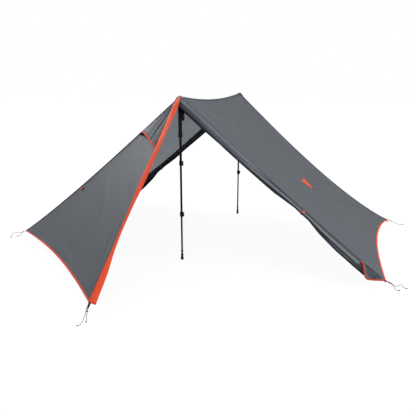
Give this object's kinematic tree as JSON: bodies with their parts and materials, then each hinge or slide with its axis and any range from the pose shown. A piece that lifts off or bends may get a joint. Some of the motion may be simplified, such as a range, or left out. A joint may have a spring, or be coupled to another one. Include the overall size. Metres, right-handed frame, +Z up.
{
  "type": "a-frame shelter",
  "caption": "Floorless A-frame shelter on two telescoping trekking poles, with one staked door, three rolled doors, a hooded vent and corner guy lines.",
  "frame": {"origin": "foot of the front pole, on the ground", "axes": "+X to the right hem seen from the front, +Y from the front pole to the rear pole, +Z up"},
  "size_m": [3.2227, 2.7426, 1.2221],
  "materials": {
    "fabric": "coated ripstop, slight sheen",
    "orange_fabric": "coated binding tape",
    "mesh": "fine insect mesh",
    "webbing": "flat woven webbing",
    "cord": "braided",
    "zip_plastic": "matt",
    "black_plastic": "satin",
    "anodised_tube": "black anodised, satin",
    "grip_foam": "matt foam",
    "rubber": "matt"
  },
  "bodies": {
    "canopy": {"left_panel": "fabric", "right_panel": "fabric", "ridge_tape": "fabric", "left_hem_binding": "orange_fabric", "right_hem_binding": "orange_fabric", "front_left_flap": "fabric", "front_left_flap_hem": "orange_fabric", "storm_flap": "orange_fabric", "zip_coil": "zip_plastic", "front_right_flap": "fabric", "front_right_flap_hem": "orange_fabric", "rear_left_flap": "fabric", "rear_right_flap": "fabric", "rear_flap_hems": "orange_fabric", "vent_mesh": "mesh", "vent_hood": "fabric", "vent_trim": "orange_fabric", "vent_strut_base": "black_plastic", "front_peak_cup": "fabric", "rear_peak_cup": "fabric", "peak_buckle": "black_plastic", "tieback_straps": "orange_fabric", "tieback_toggles": "black_plastic", "side_guy_tabs": "orange_fabric", "side_guy_loops": "webbing", "corner_loops": "webbing", "corner_tensioners": "black_plastic", "tip_cord": "cord", "tip_cord_tail": "cord", "front_left_cord": "cord", "front_left_cord_tail": "cord", "front_right_cord": "cord", "front_right_cord_tail": "cord", "rear_right_cord": "cord", "rear_left_cord": "cord"},
    "zip_slider": {"zip_slider": "zip_plastic"},
    "vent_strut": {"vent_strut": "black_plastic"},
    "front_pole_upper": {"front_grip": "grip_foam", "front_wrist_strap": "webbing", "front_upper_tube": "anodised_tube", "front_upper_lock": "black_plastic"},
    "front_upper_lever": {"front_upper_lever": "black_plastic"},
    "front_pole_middle": {"front_middle_tube": "anodised_tube", "front_lower_lock": "black_plastic"},
    "front_lower_lever": {"front_lower_lever": "black_plastic"},
    "front_pole_lower": {"front_lower_tube": "anodised_tube", "front_foot": "rubber"},
    "rear_pole_upper": {"rear_grip": "grip_foam", "rear_wrist_strap": "webbing", "rear_upper_tube": "anodised_tube", "rear_upper_lock": "black_plastic"},
    "rear_upper_lever": {"rear_upper_lever": "black_plastic"},
    "rear_pole_middle": {"rear_middle_tube": "anodised_tube", "rear_lower_lock": "black_plastic"},
    "rear_lower_lever": {"rear_lower_lever": "black_plastic"},
    "rear_pole_lower": {"rear_lower_tube": "anodised_tube", "rear_foot": "rubber"}
  },
  "joints": [
    {"name": "zip_slider_travel", "type": "slide", "parent": "canopy", "child": "zip_slider", "axis": [-0.0685, -0.6789, -0.7311], "range_m": [0, 1.33]},
    {"name": "vent_strut_swing", "type": "hinge", "parent": "canopy", "child": "vent_strut", "pos_m": [-0.20504, -0.10901, 0.97511], "axis": [-0.663, 0.7152, 0.2212], "range_deg": [0, 38]},
    {"name": "front_pole_swing", "type": "hinge", "parent": "canopy", "child": "front_pole_upper", "pos_m": [0, 0, 1.191], "axis": [1, 0, 0], "range_deg": [0, 25]},
    {"name": "front_upper_lever_flip", "type": "hinge", "parent": "front_pole_upper", "child": "front_upper_lever", "pos_m": [0.0165, 0, 0.746], "axis": [0, 0, -1], "range_deg": [0, 110]},
    {"name": "front_middle_slide", "type": "slide", "parent": "front_pole_upper", "child": "front_pole_middle", "axis": [0, 0, 1], "range_m": [0, 0.27]},
    {"name": "front_lower_lever_flip", "type": "hinge", "parent": "front_pole_middle", "child": "front_lower_lever", "pos_m": [0.0165, 0, 0.361], "axis": [0, 0, -1], "range_deg": [0, 110]},
    {"name": "front_lower_slide", "type": "slide", "parent": "front_pole_middle", "child": "front_pole_lower", "axis": [0, 0, 1], "range_m": [0, 0.26]},
    {"name": "rear_pole_swing", "type": "hinge", "parent": "canopy", "child": "rear_pole_upper", "pos_m": [0, 1.4, 1.191], "axis": [-1, 0, 0], "range_deg": [0, 25]},
    {"name": "rear_upper_lever_flip", "type": "hinge", "parent": "rear_pole_upper", "child": "rear_upper_lever", "pos_m": [0.0165, 1.4, 0.796], "axis": [0, 0, -1], "range_deg": [0, 110]},
    {"name": "rear_middle_slide", "type": "slide", "parent": "rear_pole_upper", "child": "rear_pole_middle", "axis": [0, 0, 1], "range_m": [0, 0.22]},
    {"name": "rear_lower_lever_flip", "type": "hinge", "parent": "rear_pole_middle", "child": "rear_lower_lever", "pos_m": [0.0165, 1.4, 0.436], "axis": [0, 0, -1], "range_deg": [0, 110]},
    {"name": "rear_lower_slide", "type": "slide", "parent": "rear_pole_middle", "child": "rear_pole_lower", "axis": [0, 0, 1], "range_m": [0, 0.3]}
  ]
}
